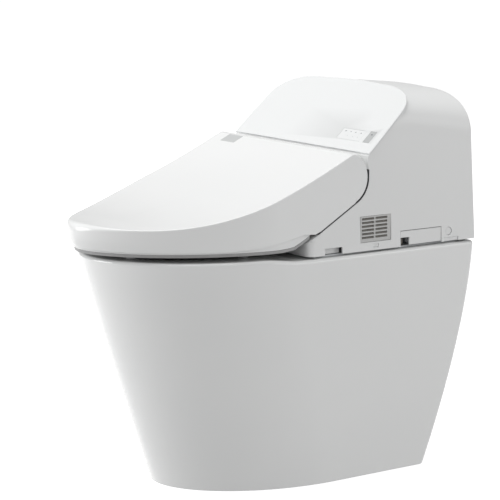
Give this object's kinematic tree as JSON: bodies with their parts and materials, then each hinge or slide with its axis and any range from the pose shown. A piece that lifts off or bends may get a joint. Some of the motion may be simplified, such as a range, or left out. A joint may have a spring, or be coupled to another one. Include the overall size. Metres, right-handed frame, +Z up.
{
  "type": "electric bidet toilet",
  "caption": "Skirted ceramic toilet with an integrated warm-water wash seat, wrap-over lid, sloped control panel and tall rear housing.",
  "frame": {"origin": "on the floor, under the middle of the whole object", "axes": "+X to the side with the vent grille, +Y to the rear, towards the wall, +Z up"},
  "size_m": [0.4102, 0.6812, 0.6681],
  "materials": {
    "ceramic": "smooth white glaze",
    "white_plastic": "satin white moulding",
    "seat_plastic": "smooth white moulding",
    "pale_grey_plastic": "fine matt moulding",
    "dark_grey_plastic": "matt moulding",
    "grey_rubber": "matt rubber",
    "steel": "brushed",
    "brass": "machined",
    "circuit_board": "solder mask",
    "heater_foil": "foil"
  },
  "bodies": {
    "root": {"ceramic_bowl": "ceramic", "trapway_pipe": "ceramic", "housing_cover": "white_plastic", "front_panel": "white_plastic", "fill_valve": "white_plastic", "base_plate": "pale_grey_plastic", "display_window": "pale_grey_plastic", "drain_valve": "pale_grey_plastic", "nozzle_cradle": "pale_grey_plastic", "dryer_duct": "pale_grey_plastic", "dryer_case": "pale_grey_plastic", "heater_tank": "pale_grey_plastic", "flush_tank": "pale_grey_plastic", "floor_bracket_left": "pale_grey_plastic", "floor_bracket_right": "pale_grey_plastic", "outlet_flange": "dark_grey_plastic", "receiver_window": "dark_grey_plastic", "seat_drive_unit": "dark_grey_plastic", "lid_drive_unit": "dark_grey_plastic", "power_gland": "dark_grey_plastic", "power_module": "dark_grey_plastic", "flush_pump": "dark_grey_plastic", "floor_bolt_left": "steel", "floor_bolt_right": "steel", "hinge_pin_left": "steel", "hinge_pin_right": "steel", "nozzle_motor": "steel", "dryer_motor": "steel", "deodoriser_motor": "steel", "board_bracket": "steel", "valve_block": "brass", "water_inlet": "brass", "display_board": "circuit_board", "control_board": "circuit_board"},
    "seat": {"seat_base": "seat_plastic", "seat_shell": "seat_plastic", "seat_heater": "heater_foil", "seat_buffer_front_left": "grey_rubber", "seat_buffer_front_right": "grey_rubber", "seat_buffer_rear_left": "grey_rubber", "seat_buffer_rear_right": "grey_rubber"},
    "lid": {"lid_shell": "seat_plastic", "lid_liner": "pale_grey_plastic", "lid_sensor_window": "pale_grey_plastic", "lid_buffer_left": "grey_rubber", "lid_buffer_right": "grey_rubber"},
    "nozzle": {"wash_nozzle": "seat_plastic", "nozzle_shield": "white_plastic"},
    "nozzle_gear": {"nozzle_gear": "pale_grey_plastic"},
    "dryer_flap": {"dryer_flap": "white_plastic"},
    "dryer_fan": {"dryer_fan": "dark_grey_plastic"},
    "deodoriser_fan": {"deodoriser_fan": "dark_grey_plastic"},
    "filter_drawer": {"vent_grille": "pale_grey_plastic", "filter_cartridge": "dark_grey_plastic"},
    "grille_latch": {"grille_latch": "white_plastic"},
    "access_cover": {"access_cover": "white_plastic"},
    "drain_valve_knob": {"drain_valve_knob": "pale_grey_plastic"},
    "side_button": {"side_button": "white_plastic"},
    "release_tab": {"release_tab": "white_plastic"},
    "tank_float": {"tank_float": "pale_grey_plastic"}
  },
  "joints": [
    {"name": "seat_hinge", "type": "hinge", "parent": "root", "child": "seat", "pos_m": [0, 0.065, 0.525], "axis": [-1, 0, 0], "range_deg": [0, 20]},
    {"name": "lid_hinge", "type": "hinge", "parent": "seat", "child": "lid", "pos_m": [0, 0.065, 0.525], "axis": [-1, 0, 0], "range_deg": [0, 105]},
    {"name": "nozzle_slide", "type": "slide", "parent": "root", "child": "nozzle", "axis": [0, -0.8829, -0.4695], "range_m": [0, 0.095]},
    {"name": "nozzle_gear_spin", "type": "hinge", "parent": "root", "child": "nozzle_gear", "pos_m": [-0.016, 0.05121, 0.44223], "axis": [0, -0.4695, 0.8829], "range_deg": [-682, 0]},
    {"name": "dryer_flap_hinge", "type": "hinge", "parent": "root", "child": "dryer_flap", "pos_m": [0.052, -0.0109, 0.4165], "axis": [-1, 0, 0], "range_deg": [0, 65]},
    {"name": "dryer_fan_spin", "type": "hinge", "parent": "root", "child": "dryer_fan", "pos_m": [0.053, 0.144, 0.456], "axis": [1, 0, 0], "continuous": true},
    {"name": "deodoriser_fan_spin", "type": "hinge", "parent": "root", "child": "deodoriser_fan", "pos_m": [0.15, 0.1255, 0.4375], "axis": [1, 0, 0], "continuous": true},
    {"name": "filter_drawer_slide", "type": "slide", "parent": "root", "child": "filter_drawer", "axis": [1, 0, 0], "range_m": [0, 0.045]},
    {"name": "grille_latch_press", "type": "slide", "parent": "root", "child": "grille_latch", "axis": [-1, 0, 0], "range_m": [0, 0.002], "stiffness_N_per_m": 600},
    {"name": "access_cover_hinge", "type": "hinge", "parent": "root", "child": "access_cover", "pos_m": [0.1998, 0.2219, 0.4045], "axis": [0, 1, 0], "range_deg": [0, 85]},
    {"name": "drain_valve_turn", "type": "hinge", "parent": "root", "child": "drain_valve_knob", "pos_m": [0.186, 0.222, 0.4145], "axis": [1, 0, 0], "range_deg": [0, 90]},
    {"name": "side_button_press", "type": "slide", "parent": "root", "child": "side_button", "axis": [-1, 0, 0], "range_m": [0, 0.003], "stiffness_N_per_m": 500},
    {"name": "release_tab_press", "type": "slide", "parent": "root", "child": "release_tab", "axis": [-1, 0, 0], "range_m": [0, 0.003], "stiffness_N_per_m": 500},
    {"name": "tank_float_slide", "type": "slide", "parent": "root", "child": "tank_float", "axis": [0, 0, 1], "range_m": [0, 0.1]}
  ],
  "couplings": [
    {"joint": "nozzle_gear_spin", "follows": "nozzle_slide", "rad_per_m": -125}
  ]
}
